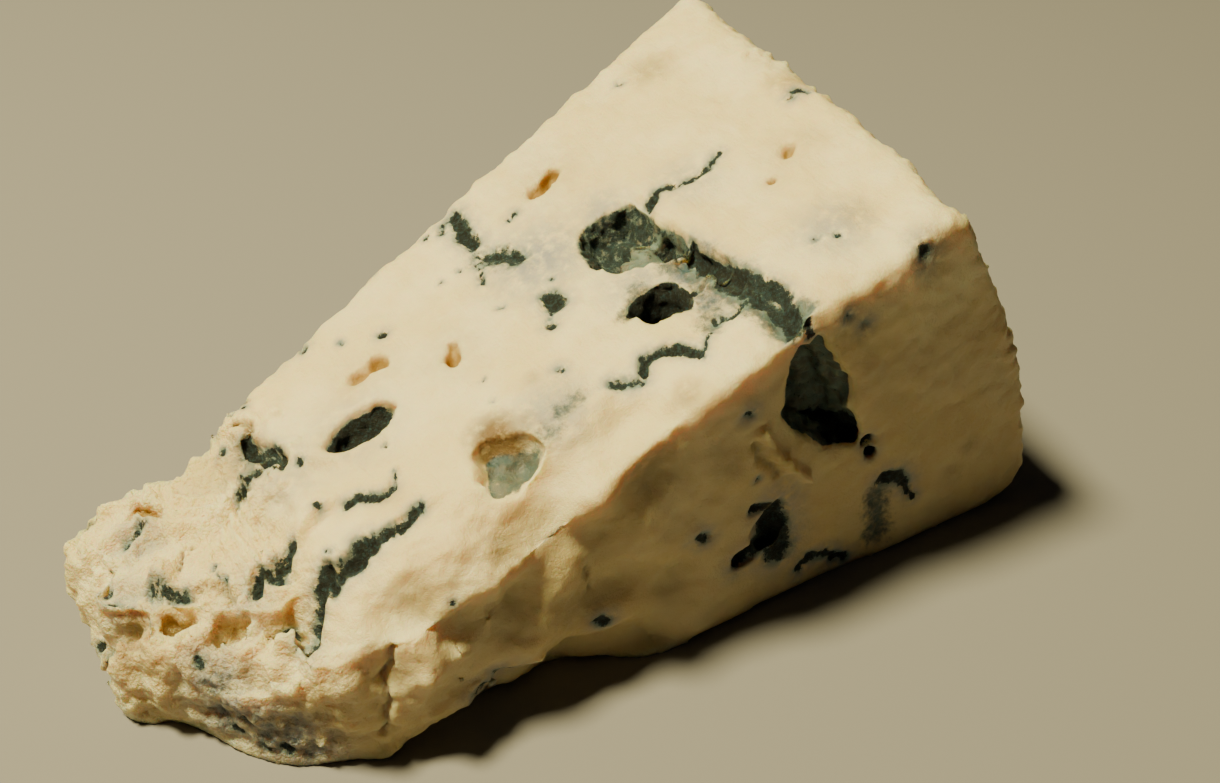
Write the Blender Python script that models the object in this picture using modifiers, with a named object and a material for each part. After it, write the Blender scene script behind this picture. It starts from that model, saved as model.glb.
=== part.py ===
"""A wedge of blue cheese, cut from a round wheel and lying on one of its cut faces.

Metres, +Z up. +X runs from the broken tip to the rim of the wheel, the flat front side faces -Y,
and the sloping cut face is on top. The origin is under the middle of the wedge, on its base.
While the wedge is shaped, a place on it is given as its distance "back" from the foot of the
rim's front corner towards the tip, and as how far "inward" it is from the front side.
"""

import math

import bmesh
import bpy
from mathutils import Matrix, Vector, noise

MM = 0.001

# The wheel that the wedge was cut from. Its axle runs along Y, turned a little by the skew.
WHEEL_RADIUS = 104 * MM
WHEEL_CENTRE_BACK = 102.8 * MM
WHEEL_CENTRE_BELOW = 13 * MM
WHEEL_SKEW = math.radians(4)
WHEEL_SIDES = 160

# The knife cuts. The top slopes down to the tip, and the back side closes in towards it.
LENGTH = 99.5 * MM
WIDTH_AT_RIM = 58.7 * MM
HEIGHT_AT_RIM = 46.7 * MM
TOP_SLOPE = 0.34
BACK_TAPER = 0.275
EDGE_ROUNDING = 1.4 * MM
EDGE_ROUNDING_SEGMENTS = 2
RIM_ROUNDING = 8 * MM
RIM_ROUNDING_SEGMENTS = 6
RIM_FOOT = 12 * MM
SHARP_EDGE = math.radians(20)

# The block is cut with this much to spare below its base, and trimmed flat after it is shaped.
BASE_SPARE = 1.5 * MM

# The front corner of the tip is broken off obliquely, along a line through these two places.
BREAK_START = Vector((77 * MM, 0.0))
BREAK_END = Vector((98.5 * MM, 17.7 * MM))

# The top edge of the front side slumps into a round shoulder, from here to the tip.
SHOULDER_BACK = 45 * MM
SHOULDER_RUN = 22 * MM
SHOULDER_WIDTH = 8 * MM
SHOULDER_DROP = 3.2 * MM

# Past a ragged step, the top of the tip has crumbled away.
STEP_BACK = 79 * MM
STEP_RUN = 3 * MM
STEP_DEPTH = 2.2 * MM
STEP_INWARD = 14 * MM
STEP_WANDER = 3 * MM

# An open crack runs beside the broken corner and fades out at its far end. It has split off a
# lump, which has sunk a little.
CRACK_START = Vector((100 * MM, 24.5 * MM))
CRACK_END = Vector((83.5 * MM, 9.2 * MM))
CRACK_DEPTH = 4 * MM
CRACK_WIDTH = 1.1 * MM
CRACK_FADE = 3 * MM
CRACK_WANDER = 1.0 * MM
LUMP_DROP = 2.2 * MM
LUMP_BULGE = 2.2 * MM
LUMP_BULGE_RUN = 0.45
LUMP_BULGE_REACH = 8 * MM

# The foot of the front side is hollowed out towards the tip.
HOLLOW_BACK = 50 * MM
HOLLOW_RUN = 9 * MM
HOLLOW_DEPTH = 4.5 * MM
HOLLOW_HEIGHT = 7 * MM
HOLLOW_REACH = 20 * MM
HOLLOW_END_BACK = 79 * MM
HOLLOW_END_RUN = 3 * MM

# The far side of the tip was pushed outwards when it broke.
FLARE_BACK = 84 * MM
FLARE_RUN = 9 * MM
FLARE = 5 * MM
FLARE_REACH = 30 * MM

# The foot of the tip is undercut, beyond the broken corner.
TOE_BACK = 90 * MM
TOE_RUN = 9 * MM
TOE_DEPTH = 2.5 * MM
TOE_HEIGHT = 6 * MM
TOE_INWARD = 17 * MM
TOE_INWARD_RUN = 5 * MM

# The crumbly surface: a slow swell and small bumps all over, which grow rougher at the tip.
SWELL = 0.5 * MM
SWELL_SIZE = 15 * MM
BUMP = 0.3 * MM
BUMP_AT_TIP = 0.8 * MM
BUMP_SIZE = 6 * MM
BUMP_SEED = 2
ROUGH_BACK = 72 * MM
ROUGH_RUN = 12 * MM
CALM_ABOVE_BASE = 3 * MM

FACET = 1.25 * MM
CLEAN_SMOOTHING = 2
CRUMBLED_SMOOTHING = 2
FACETS_KEPT = 0.26
POCKET_UNEVENNESS = 0.22
LEAST_HEIGHT = 10 * MM


def smooth(value):
    """0 below 0, 1 above 1, and an even curve between them."""
    value = min(max(value, 0.0), 1.0)
    return value * value * (3 - 2 * value)


def top_height(back):
    """The height of the sloping cut above the base."""
    return HEIGHT_AT_RIM - TOP_SLOPE * back


def knife_cut(bm, point, outward):
    """Slices the body with a plane, drops what is in front of it and closes the face."""
    body = bm.verts[:] + bm.edges[:] + bm.faces[:]
    cut = bmesh.ops.bisect_plane(
        bm, geom=body, plane_co=point, plane_no=outward.normalized(), clear_outer=True
    )
    rim = [edge for edge in cut["geom_cut"] if isinstance(edge, bmesh.types.BMEdge)]
    bmesh.ops.edgeloop_fill(bm, edges=rim)


def soften(bm, edges, width, segments):
    """Rounds these edges."""
    bmesh.ops.bevel(
        bm,
        geom=edges,
        offset=width,
        offset_type="OFFSET",
        segments=segments,
        profile=0.5,
        affect="EDGES",
        clamp_overlap=True,
        material=-1,
    )


def sharp_edges(bm):
    return [edge for edge in bm.edges if edge.calc_face_angle(0) > SHARP_EDGE]


def at_rim_foot(edge):
    """Whether an edge is one of those where the rim meets the base."""
    near_rim = min(vert.co.x for vert in edge.verts) > -RIM_FOOT
    return near_rim and max(vert.co.z for vert in edge.verts) < 0


def wheel():
    """The whole wheel, standing on its rim and sunk to where the base cuts it."""
    bm = bmesh.new()
    bmesh.ops.create_cone(
        bm,
        cap_ends=True,
        segments=WHEEL_SIDES,
        radius1=WHEEL_RADIUS,
        radius2=WHEEL_RADIUS,
        depth=4 * WIDTH_AT_RIM,
    )
    centre = Vector((-WHEEL_CENTRE_BACK, 0, -WHEEL_CENTRE_BELOW))
    turn = Matrix.Rotation(-WHEEL_SKEW, 4, "Z") @ Matrix.Rotation(math.radians(90), 4, "X")
    bmesh.ops.transform(bm, matrix=Matrix.Translation(centre) @ turn, verts=bm.verts)
    return bm


def cut_wedge():
    """The clean wedge: the wheel, sliced on its base, top, front, back, tip and broken corner."""
    bm = wheel()
    knife_cut(bm, Vector((0, 0, -BASE_SPARE)), Vector((0, 0, -1)))
    knife_cut(bm, Vector((0, 0, HEIGHT_AT_RIM)), Vector((-TOP_SLOPE, 0, 1)))
    knife_cut(bm, Vector((0, 0, 0)), Vector((0, -1, 0)))
    knife_cut(bm, Vector((0, WIDTH_AT_RIM, 0)), Vector((-BACK_TAPER, 1, 0)))
    knife_cut(bm, Vector((-LENGTH, 0, 0)), Vector((-1, 0, 0)))
    along = BREAK_END - BREAK_START
    knife_cut(bm, Vector((-BREAK_START.x, BREAK_START.y, 0)), Vector((-along.y, -along.x, 0)))

    soften(bm, list(filter(at_rim_foot, sharp_edges(bm))), RIM_ROUNDING, RIM_ROUNDING_SEGMENTS)
    soften(bm, sharp_edges(bm), EDGE_ROUNDING, EDGE_ROUNDING_SEGMENTS)
    bmesh.ops.recalc_face_normals(bm, faces=bm.faces)
    return bm


def slumped_shoulder(back, inward):
    """How far the top sinks beside the front side and the broken corner."""
    along = BREAK_END - BREAK_START
    from_break = along.normalized().cross(Vector((back, inward)) - BREAK_START)
    share = smooth(1 - min(inward, from_break) / SHOULDER_WIDTH)
    return SHOULDER_DROP * share * smooth((back - SHOULDER_BACK) / SHOULDER_RUN)


def sunken_tip(back, inward):
    """How far the top of the tip has crumbled away."""
    wander = STEP_WANDER * noise.noise(Vector((back, inward, 0)) / BUMP_SIZE)
    return STEP_DEPTH * smooth((back + wander - STEP_BACK) / STEP_RUN) * smooth(inward / STEP_INWARD)


def split_lump(back, inward):
    """How far the surface sinks into the crack, and on the lump outside it."""
    along = (CRACK_END - CRACK_START).normalized()
    place = Vector((back, inward)) - CRACK_START
    run = place.dot(along)
    outside = along.cross(place) + CRACK_WANDER * noise.noise(Vector((0, 0, run)) / BUMP_SIZE)
    fade = smooth(1 - (run - (CRACK_END - CRACK_START).length) / CRACK_FADE)
    gap = CRACK_DEPTH * smooth(2 - abs(outside) / CRACK_WIDTH)
    return fade * (gap + LUMP_DROP * smooth(outside / CRACK_WIDTH))


def lump_bulge(back, inward):
    """The lump swells outwards from the line of the broken corner."""
    along = BREAK_END - BREAK_START
    place = Vector((back, inward)) - BREAK_START
    from_break = along.normalized().cross(place)
    share = place.dot(along) / along.length_squared
    middle = smooth(share / LUMP_BULGE_RUN) * smooth((1 - share) / LUMP_BULGE_RUN)
    swelling = LUMP_BULGE * middle * smooth(1 - from_break / LUMP_BULGE_REACH)
    return Vector((-along.y, -along.x, 0)).normalized() * swelling


def foot_hollow(back, inward, height):
    """How far the foot of the front side is pushed in."""
    along = smooth((back - HOLLOW_BACK) / HOLLOW_RUN) * smooth((HOLLOW_END_BACK - back) / HOLLOW_END_RUN)
    return HOLLOW_DEPTH * along * smooth(1 - height / HOLLOW_HEIGHT) * smooth(1 - inward / HOLLOW_REACH)


def toe_undercut(back, inward, height):
    """How far the foot of the tip is set back under it."""
    beyond_corner = smooth((inward - TOE_INWARD) / TOE_INWARD_RUN)
    near_tip = smooth((back - TOE_BACK) / TOE_RUN)
    return TOE_DEPTH * beyond_corner * near_tip * smooth(1 - height / TOE_HEIGHT)


def crumbled(point):
    """The small bumps and the slow swell of the surface, which leave the base flat."""
    bump = BUMP + (BUMP_AT_TIP - BUMP) * smooth((-point.x - ROUGH_BACK) / ROUGH_RUN)
    offset = noise.noise_vector(point / BUMP_SIZE) * bump
    offset += noise.noise_vector(point / SWELL_SIZE) * SWELL
    offset.z *= smooth(point.z / CALM_ABOVE_BASE)
    return offset


def weathered(point):
    """Moves a point of the clean wedge to where it lies on the real, crumbling one."""
    back, inward = -point.x, point.y
    low = slumped_shoulder(back, inward) + sunken_tip(back, inward) + split_lump(back, inward)
    height = max(top_height(back), LEAST_HEIGHT)
    moved = Vector((point.x, point.y, point.z * (1 - low / height)))
    moved.y += foot_hollow(back, inward, point.z)
    moved.y += FLARE * smooth((back - FLARE_BACK) / FLARE_RUN) * smooth(inward / FLARE_REACH)
    moved.x += toe_undercut(back, inward, point.z)
    return moved + lump_bulge(back, inward) + crumbled(point)


def evenly_faceted(bm):
    """The wedge remade in small even facets, so that it can be shaped all over."""
    mesh = bpy.data.meshes.new("wedge_block")
    bm.to_mesh(mesh)
    bm.free()
    block = bpy.data.objects.new("wedge_block", mesh)
    bpy.context.scene.collection.objects.link(block)
    remesh = block.modifiers.new("facets", "REMESH")
    remesh.mode = "VOXEL"
    remesh.voxel_size = FACET
    graph = bpy.context.evaluated_depsgraph_get()
    even = bmesh.new()
    even.from_mesh(block.evaluated_get(graph).to_mesh())
    bpy.data.objects.remove(block)
    return even


def smooth_over(bm, rounds):
    for _ in range(rounds):
        bmesh.ops.smooth_vert(
            bm, verts=bm.verts, factor=0.5, use_axis_x=True, use_axis_y=True, use_axis_z=True
        )


def pocket(name, place, size, turn, collection):
    """A cutter for one open pocket: an uneven ball, stretched to its size and turned."""
    bm = bmesh.new()
    bmesh.ops.create_icosphere(bm, subdivisions=2, radius=1.0)
    for vert in bm.verts:
        vert.co *= 1 + POCKET_UNEVENNESS * noise.noise(vert.co + place / BUMP_SIZE)
    stretch = Matrix.Diagonal((*size, 1))
    bmesh.ops.transform(bm, matrix=Matrix.Translation(place) @ turn @ stretch, verts=bm.verts)
    mesh = bpy.data.meshes.new(name)
    bm.to_mesh(mesh)
    bm.free()
    cutter = bpy.data.objects.new(name, mesh)
    cutter.hide_render = True
    cutter.display_type = "WIRE"
    collection.objects.link(cutter)
    return cutter


def pockets(collection):
    """The larger pockets left by the mould: four in the top, and a tall one in the front side."""
    in_top = [
        ("round_pocket", 39, 25, Vector((4.2, 5.2, 4.4)), 10),
        ("deep_pocket", 41, 14, Vector((3.0, 2.4, 5.0)), 35),
        ("pale_pocket", 62, 8, Vector((3.6, 3.2, 3.0)), 0),
        ("dark_pocket", 70, 23, Vector((4.0, 2.2, 2.6)), -10),
    ]
    cutters = []
    for name, back, inward, size, degrees in in_top:
        place = Vector((-back * MM, inward * MM, top_height(back * MM)))
        turn = Matrix.Rotation(math.radians(degrees), 4, "Z")
        cutters.append(pocket(name, place, size * MM, turn, collection))

    place = Vector((-31, 0, 25)) * MM
    turn = Matrix.Rotation(math.radians(-22), 4, "Y")
    cutters.append(pocket("front_pocket", place, Vector((3.8, 5.5, 8.0)) * MM, turn, collection))
    return cutters


def cheese_material():
    """The cream-coloured curd."""
    material = bpy.data.materials.new("blue_cheese")
    material.use_nodes = True
    shader = material.node_tree.nodes["Principled BSDF"]
    shader.inputs["Base Color"].default_value = (0.83, 0.74, 0.52, 1)
    shader.inputs["Roughness"].default_value = 0.55
    shader.inputs["Metallic"].default_value = 0.0
    return material


def make_wedge(parts, cutters):
    """The whole cheese: one piece, flat underneath, with its pockets cut out."""
    bm = evenly_faceted(cut_wedge())
    smooth_over(bm, CLEAN_SMOOTHING)
    for vert in bm.verts:
        vert.co = weathered(vert.co)
    smooth_over(bm, CRUMBLED_SMOOTHING)
    knife_cut(bm, Vector((0, 0, 0)), Vector((0, 0, -1)))
    bmesh.ops.recalc_face_normals(bm, faces=bm.faces)

    low = Vector([min(vert.co[axis] for vert in bm.verts) for axis in range(3)])
    high = Vector([max(vert.co[axis] for vert in bm.verts) for axis in range(3)])
    origin = Vector(((low.x + high.x) / 2, (low.y + high.y) / 2, low.z))
    bmesh.ops.translate(bm, vec=-origin, verts=bm.verts)
    mesh = bpy.data.meshes.new("cheese_wedge")
    bm.to_mesh(mesh)
    bm.free()
    mesh.materials.append(cheese_material())
    wedge = bpy.data.objects.new("cheese_wedge", mesh)
    parts.objects.link(wedge)

    fewer = wedge.modifiers.new("fewer_facets", "DECIMATE")
    fewer.ratio = FACETS_KEPT
    for cutter in pockets(cutters):
        cutter.location = -origin
        difference = wedge.modifiers.new(cutter.name, "BOOLEAN")
        difference.operation = "DIFFERENCE"
        difference.object = cutter
    return wedge


def new_collection(name):
    collection = bpy.data.collections.new(name)
    bpy.context.scene.collection.children.link(collection)
    return collection


for leftover in list(bpy.data.objects):
    bpy.data.objects.remove(leftover)
# Without a set seed, noise_vector would give each build other bumps.
noise.seed_set(BUMP_SEED)
make_wedge(new_collection("cheese_wedge"), new_collection("cutters"))
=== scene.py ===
"""A wedge of blue cheese: its looks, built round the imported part.

Metres, +Z up. +X runs from the broken tip to the rim of the wheel, and the flat front side faces -Y.
A place on the cheese is given in millimetres, as its distance "back" from the foot of the rim's
front corner towards the tip, how far "inward" it is from the front side, and how far "up".
"""

import math
import random

import bmesh
import bpy
import numpy as np
from mathutils import Matrix, Vector, noise
from mathutils.bvhtree import BVHTree
from mathutils.kdtree import KDTree


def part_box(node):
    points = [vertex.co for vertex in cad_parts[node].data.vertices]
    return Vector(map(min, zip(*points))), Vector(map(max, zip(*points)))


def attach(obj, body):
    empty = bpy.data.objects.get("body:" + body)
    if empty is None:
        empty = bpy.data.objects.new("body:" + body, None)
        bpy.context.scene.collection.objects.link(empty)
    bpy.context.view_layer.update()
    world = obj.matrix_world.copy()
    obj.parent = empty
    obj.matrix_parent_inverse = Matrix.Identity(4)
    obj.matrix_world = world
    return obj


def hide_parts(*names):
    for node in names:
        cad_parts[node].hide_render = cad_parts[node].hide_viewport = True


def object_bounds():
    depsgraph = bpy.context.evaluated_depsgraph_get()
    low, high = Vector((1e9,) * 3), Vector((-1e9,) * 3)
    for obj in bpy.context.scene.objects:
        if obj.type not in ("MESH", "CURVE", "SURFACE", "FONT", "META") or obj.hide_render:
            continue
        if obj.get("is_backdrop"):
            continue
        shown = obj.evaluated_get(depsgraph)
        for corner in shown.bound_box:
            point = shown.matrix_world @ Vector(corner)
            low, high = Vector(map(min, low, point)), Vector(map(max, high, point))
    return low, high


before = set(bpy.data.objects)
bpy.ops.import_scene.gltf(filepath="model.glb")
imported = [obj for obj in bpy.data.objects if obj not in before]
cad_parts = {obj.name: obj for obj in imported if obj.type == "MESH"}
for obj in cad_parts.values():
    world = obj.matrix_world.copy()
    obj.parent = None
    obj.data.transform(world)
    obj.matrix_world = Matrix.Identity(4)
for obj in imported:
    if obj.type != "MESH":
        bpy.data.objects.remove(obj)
cad_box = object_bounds()


# The curd. A wedge is one body of pressed curd, cut from a ripe wheel with a wire.
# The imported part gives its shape, and everything below is worked into a copy of that mesh.

MM = 0.001
TINY = 0.001 * MM
RIM_BULGE = 4.61 * MM
FRONT_BUMPS = 0.50 * MM
TOP_AT_RIM = 46.7
TOP_SLOPE = 0.34
low_corner, high_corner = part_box("cheese_wedge")
RIM_FOOT_X = high_corner.x - RIM_BULGE
FRONT_Y = low_corner.y + FRONT_BUMPS


def at(back, inward, up):
    """A place on the cheese, in the part's frame."""
    return Vector((RIM_FOOT_X - back * MM, FRONT_Y + inward * MM, up * MM))


def top_up(back):
    """How far up the clean sloping cut lies."""
    return TOP_AT_RIM - TOP_SLOPE * back


def smooth(value):
    """0 below 0, 1 above 1, and an even curve between them."""
    value = np.clip(value, 0.0, 1.0)
    return value * value * (3 - 2 * value)


curd = bmesh.new()
curd.from_mesh(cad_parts["cheese_wedge"].data)
bmesh.ops.remove_doubles(curd, verts=curd.verts, dist=TINY)

# The edge between the top and the front has slumped by this share of its height. The slump starts
# this far back, grows over the next stretch, and reaches this far inward.
SHOULDER_SINKS = 0.07
SHOULDER_START = 40
SHOULDER_GROWTH = 22
SHOULDER_WIDTH = 7
for vert in curd.verts:
    back, inward = (RIM_FOOT_X - vert.co.x) / MM, (vert.co.y - FRONT_Y) / MM
    slump = smooth((back - SHOULDER_START) / SHOULDER_GROWTH) * smooth(1 - inward / SHOULDER_WIDTH)
    vert.co.z *= 1 - SHOULDER_SINKS * slump


# The openings. Gas, mould and curd that never knitted leave holes with ragged walls: small deep
# eyes, torn crevices and a tall cavity in the front side. They are cut out of the curd.

# The cutters of pits start this far outside the top and the front side.
ABOVE_TOP = 2.0
BEFORE_FRONT = 2.5


def lump(bm, place, size, turn=Matrix.Identity(4), roughness=0.25, grain=0.8, detail=2):
    """Adds a ball of this size in millimetres, uneven by roughness in a way of its own place."""
    made = bmesh.ops.create_icosphere(bm, subdivisions=detail, radius=1.0)["verts"]
    for vert in made:
        vert.co *= 1 + roughness * noise.noise(vert.co / grain + place / (3 * MM))
    stretch = Matrix.Diagonal((size[0] * MM, size[1] * MM, size[2] * MM, 1))
    bmesh.ops.transform(bm, matrix=Matrix.Translation(place) @ turn @ stretch, verts=made)


def turned(degrees, axis):
    """A turn about the X, Y or Z axis."""
    return Matrix.Rotation(math.radians(degrees), 4, axis)


def pit(bm, corners, push, narrowing):
    """Adds a prism from an outline of places, pushed in by this many millimetres and narrower there."""
    face = bm.faces.new([bm.verts.new(corner) for corner in corners])
    middle = face.calc_center_median()
    pushed = bmesh.ops.extrude_face_region(bm, geom=[face])["geom"]
    floor_verts = [item for item in pushed if isinstance(item, bmesh.types.BMVert)]
    shrink = Matrix.Translation(-middle)
    bmesh.ops.scale(bm, vec=Vector((narrowing,) * 3), space=shrink, verts=floor_verts)
    bmesh.ops.translate(bm, vec=Vector(push) * MM, verts=floor_verts)


def top_pit(bm, outline, depth, narrowing):
    """A pit in the top, from its (back, inward) outline."""
    above = [at(back, inward, top_up(back) + ABOVE_TOP) for back, inward in outline]
    pit(bm, above, (0, 0, -ABOVE_TOP - depth), narrowing)


def front_pit(bm, outline, depth, narrowing):
    """A pit in the front side, from its (back, up) outline."""
    outside = [at(back, -BEFORE_FRONT, up) for back, up in outline]
    pit(bm, outside, (0, BEFORE_FRONT + depth, 0), narrowing)


# Each eye: how far back and inward, its size along, across and down, and its turn.
EYES = [
    (90.7, 32.6, (1.0, 2.1, 2.4), 28),
    (67.6, 29.3, (1.5, 1.1, 1.5), 0),
    (65.1, 29.5, (1.2, 1.2, 2.4), 0),
    (59.4, 23.9, (0.9, 1.7, 2.4), -28),
    (58.6, 25.5, (0.6, 1.5, 1.4), -25),
    (41.4, 38.8, (1.1, 0.9, 1.8), 0),
    (39.4, 39.3, (2.2, 0.9, 2.4), 29),
    (24.2, 19.3, (0.9, 0.8, 1.6), 0),
    (20.6, 21.6, (1.5, 0.8, 1.4), 25),
]
# Openings with torn walls, in the same way.
CREVICES = [
    (79.2, 28.2, (1.5, 3.0, 2.4), 10),
    (78.0, 25.4, (0.8, 2.0, 1.8), -10),
    (81.4, 25.9, (1.8, 0.7, 1.3), 20),
    (42.4, 15.4, (2.2, 1.3, 2.6), 12),
    (39.5, 13.6, (1.1, 2.7, 7.0), 0),
    (37.2, 12.9, (2.2, 0.6, 2.0), 5),
    (36.0, 21.0, (1.5, 2.6, 3.2), 0),
    (35.2, 15.6, (0.6, 2.8, 2.0), 0),
    (40.5, 22.5, (2.0, 1.6, 2.4), 0),
    (62.6, 10.2, (2.2, 1.6, 2.6), 0),
    (63.2, 5.6, (1.6, 1.5, 2.2), 30),
    (69.0, 22.9, (2.4, 1.2, 2.2), -20),
    (73.2, 22.6, (1.4, 1.3, 1.5), 0),
]

cutters = bmesh.new()
for back, inward, size, degrees in EYES + CREVICES:
    lump(cutters, at(back, inward, top_up(back)), size, turned(degrees, "Z"))
# The first eye lies in the sunken tip, so it is cut again, this much lower.
SUNKEN_EYE_DROP = 2.2
back, inward, size, degrees = EYES[0]
lump(cutters, at(back, inward, top_up(back) - SUNKEN_EYE_DROP), size, turned(degrees, "Z"))

# A lump has split off at the tip, and an open crack runs behind it. How far back and inward each
# stretch of the crack is, its half width and how far up its floor is:
CRACK_TURN = -42
CRACK_TOP = 14
CRACK_STRETCH = 2.6
CRACK_ROUGHNESS = 0.08
CRACK = [
    (99.4, 23.8, 1.2, -3.0),
    (97.6, 22.0, 0.9, 0.5),
    (95.6, 20.1, 0.7, 2.5),
    (93.4, 18.0, 0.6, 4.0),
    (91.2, 15.8, 0.6, 5.0),
    (89.0, 13.4, 0.7, 5.5),
    (86.8, 11.5, 0.9, 6.0),
    (84.8, 9.8, 1.2, 7.0),
]
for back, inward, half_width, floor_up in CRACK:
    size = (CRACK_STRETCH, half_width, CRACK_TOP - floor_up)
    place = at(back, inward, CRACK_TOP)
    lump(cutters, place, size, turned(CRACK_TURN, "Z"), CRACK_ROUGHNESS)

# The pockets in the top have squarer walls: each one's (back, inward) outline, how deep it is, and
# what share of its width is left at its floor.
ROUND_POCKET = [
    (34.9, 29.8), (40.2, 29.6), (41.6, 26.4), (42.9, 24.0), (41.8, 21.8), (39.8, 20.4),
    (37.4, 18.4), (35.2, 19.0),
]
DARK_POCKET = [
    (66.9, 22.4), (68.6, 24.3), (70.4, 25.8), (73.2, 24.8), (74.6, 21.8), (72.4, 21.2),
    (70.3, 20.7), (68.2, 21.4),
]
PALE_POCKET = [
    (59.8, 10.6), (61.2, 12.0), (62.9, 11.2), (65.0, 8.1), (65.2, 5.6), (63.0, 4.0),
    (60.8, 5.6), (60.0, 8.0),
]
DEEP_HOLE = [
    (38.4, 16.4), (41.4, 17.0), (43.6, 16.4), (44.0, 14.9), (41.6, 13.8), (39.8, 11.0),
    (38.2, 12.8),
]
LONG_GAP = [(34.7, 20.0), (35.6, 19.6), (35.2, 12.0), (33.9, 9.4), (34.2, 12.0)]
for outline, depth, narrowing in (
    (ROUND_POCKET, 4.0, 0.85),
    (DARK_POCKET, 2.6, 0.7),
    (PALE_POCKET, 2.6, 0.75),
    (DEEP_HOLE, 5.0, 0.6),
    (LONG_GAP, 1.6, 0.8),
):
    top_pit(cutters, outline, depth, narrowing)

# The tall cavity of the front side is a pit as well, from its (back, up) outline. Small holes and
# dents lie below it.
FRONT_CAVITY = [
    (32.2, 34.8), (30.0, 30.0), (27.4, 24.6), (24.8, 18.6), (24.2, 15.6), (28.4, 17.4),
    (32.6, 19.6), (34.6, 22.6), (36.8, 25.9), (34.7, 30.0),
]
front_pit(cutters, FRONT_CAVITY, 5.0, 0.7)
lump(cutters, at(24.0, 0.3, 17.0), (1.0, 1.2, 0.8))
lump(cutters, at(23.6, 0.3, 15.2), (0.9, 1.0, 0.6), turned(30, "Y"))
lump(cutters, at(36.4, 0.2, 11.2), (2.3, 1.1, 3.2), turned(20, "Y"))
lump(cutters, at(39.3, 0.2, 8.4), (1.7, 0.9, 1.1))
bmesh.ops.recalc_face_normals(cutters, faces=cutters.faces)


def new_object(name, bm):
    """Puts a built mesh into the scene as an object of this name."""
    mesh = bpy.data.meshes.new(name)
    bm.to_mesh(mesh)
    bm.free()
    made = bpy.data.objects.new(name, mesh)
    bpy.context.scene.collection.objects.link(made)
    return made


cutter_object = new_object("opening_cutters", cutters)
block = new_object("curd_block", curd)
openings = block.modifiers.new("openings", "BOOLEAN")
openings.operation = "DIFFERENCE"
openings.object = cutter_object
openings.use_self = True
graph = bpy.context.evaluated_depsgraph_get()
curd = bmesh.new()
curd.from_mesh(block.evaluated_get(graph).to_mesh())
for helper in (block, cutter_object):
    bpy.data.objects.remove(helper)


# The crumbs. Loose curd clings along the rim's edge, round the larger pockets and over the torn
# tip. The crumbs are pressed into the surface, and all of it is then remade as one even skin.

VOXEL = 0.42 * MM
SMOOTHINGS = 2
CRUMB_SEED = 11
dice = random.Random(CRUMB_SEED)
surface = BVHTree.FromBMesh(curd)

# The surface is looked for from these places, clear of the cheese.
UP_ABOVE = 60
OUT_IN_FRONT = -15
FAR_BEHIND = 80
PAST_THE_RIM = -15


def on_top(back, inward):
    """The place on the top straight below this, or None off the cheese."""
    return surface.ray_cast(at(back, inward, UP_ABOVE), Vector((0, 0, -1)))[0]


def on_front(back, up):
    """The same on the front side."""
    return surface.ray_cast(at(back, OUT_IN_FRONT, up), Vector((0, 1, 0)))[0]


def on_back(back, up):
    """The same on the back side."""
    return surface.ray_cast(at(back, FAR_BEHIND, up), Vector((0, -1, 0)))[0]


def on_rim(inward, up):
    """The same on the rim."""
    return surface.ray_cast(at(PAST_THE_RIM, inward, up), Vector((-1, 0, 0)))[0]


def crumb(place, size):
    """A grain of curd, half sunk into the surface."""
    if place:
        shape = [size * dice.uniform(0.6, 1.2) for _ in range(3)]
        lump(curd, place, shape, turned(dice.uniform(0, 180), "Z"), roughness=0.6, detail=1)


# The rim's edge sheds crumbs down its front corner, from the top to the foot.
for _ in range(150):
    up = dice.uniform(6, 40)
    inward = abs(dice.gauss(0, 0.8))
    crumb(on_rim(inward + 0.3, up), dice.choice((0.3, 0.35, 0.45, 0.55)))
for _ in range(45):
    crumb(on_top(dice.uniform(11.5, 15.5), dice.uniform(26, 41)), dice.choice((0.3, 0.5, 0.8)))

# Knots of curd narrow the front cavity, and smaller ones stand among the pockets.
lump(curd, at(27.2, 4.6, 29.6), (3.1, 4.9, 6.4), turned(-26, "Y"), 0.1)
lump(curd, at(35.7, 3.6, 19.8), (1.9, 3.9, 3.0), turned(-35, "Y"))
lump(curd, at(36.8, 4.6, 30.6), (3.2, 4.9, 5.0), turned(24, "Y"), 0.1)
for back, inward, drop, size in (
    (37.2, 17.2, 0.9, 1.3),
    (36.6, 15.2, 0.7, 1.2),
    (37.6, 14.2, 1.2, 1.0),
    (38.3, 18.6, 1.3, 1.0),
    (39.0, 21.5, 2.6, 1.6),
    (37.0, 22.5, 3.0, 1.8),
):
    lump(curd, at(back, inward, top_up(back) - drop), (size, size, size), roughness=0.5)

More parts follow.
